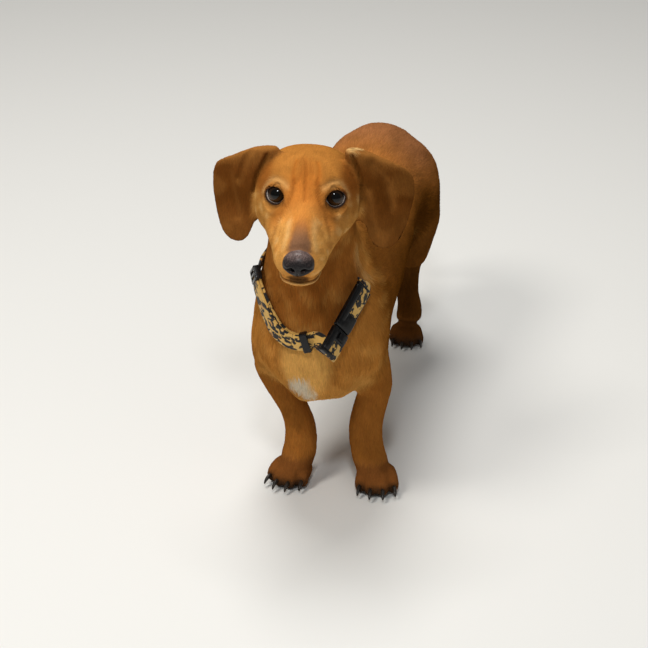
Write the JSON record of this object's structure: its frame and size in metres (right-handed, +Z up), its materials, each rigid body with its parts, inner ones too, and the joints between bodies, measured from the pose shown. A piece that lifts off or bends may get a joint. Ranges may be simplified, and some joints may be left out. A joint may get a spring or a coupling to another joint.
{
  "type": "dachshund dog model",
  "caption": "Life-size still model of a young smooth-haired red dachshund standing with its head raised, wearing a buckled fabric collar.",
  "frame": {"origin": "on the floor, at the middle of the underside of the box round the whole dog", "axes": "+Z up, -Y the way the dog faces, +X the dog's left side"},
  "size_m": [0.1644, 0.5822, 0.3317],
  "materials": {
    "coat": "short smooth hair",
    "ear_coat": "short smooth hair, darker",
    "nose_leather": "moist pebbled leather",
    "eye": "wet and glossy",
    "claw": "satin horn",
    "webbing": "woven, printed with dark spots",
    "buckle_plastic": "semi-gloss moulded plastic"
  },
  "bodies": {
    "root": {"head": "coat", "neck": "coat", "torso": "coat", "tail": "coat", "foreleg_left": "coat", "foreleg_right": "coat", "thigh_left": "coat", "thigh_right": "coat", "hock_left": "coat", "hock_right": "coat", "paw_front_left": "coat", "paw_front_right": "coat", "paw_hind_left": "coat", "paw_hind_right": "coat", "ear_left": "ear_coat", "ear_right": "ear_coat", "nose": "nose_leather", "eye_left": "eye", "eye_right": "eye", "claw_front_left_1": "claw", "claw_front_left_2": "claw", "claw_front_left_3": "claw", "claw_front_left_4": "claw", "claw_front_right_1": "claw", "claw_front_right_2": "claw", "claw_front_right_3": "claw", "claw_front_right_4": "claw", "claw_hind_left_1": "claw", "claw_hind_left_2": "claw", "claw_hind_left_3": "claw", "claw_hind_left_4": "claw", "claw_hind_right_1": "claw", "claw_hind_right_2": "claw", "claw_hind_right_3": "claw", "claw_hind_right_4": "claw", "collar_strap": "webbing", "collar_strap_end": "webbing", "collar_slider": "buckle_plastic", "collar_keeper": "buckle_plastic", "buckle_socket": "buckle_plastic", "buckle_clip": "buckle_plastic"}
  },
  "joints": []
}
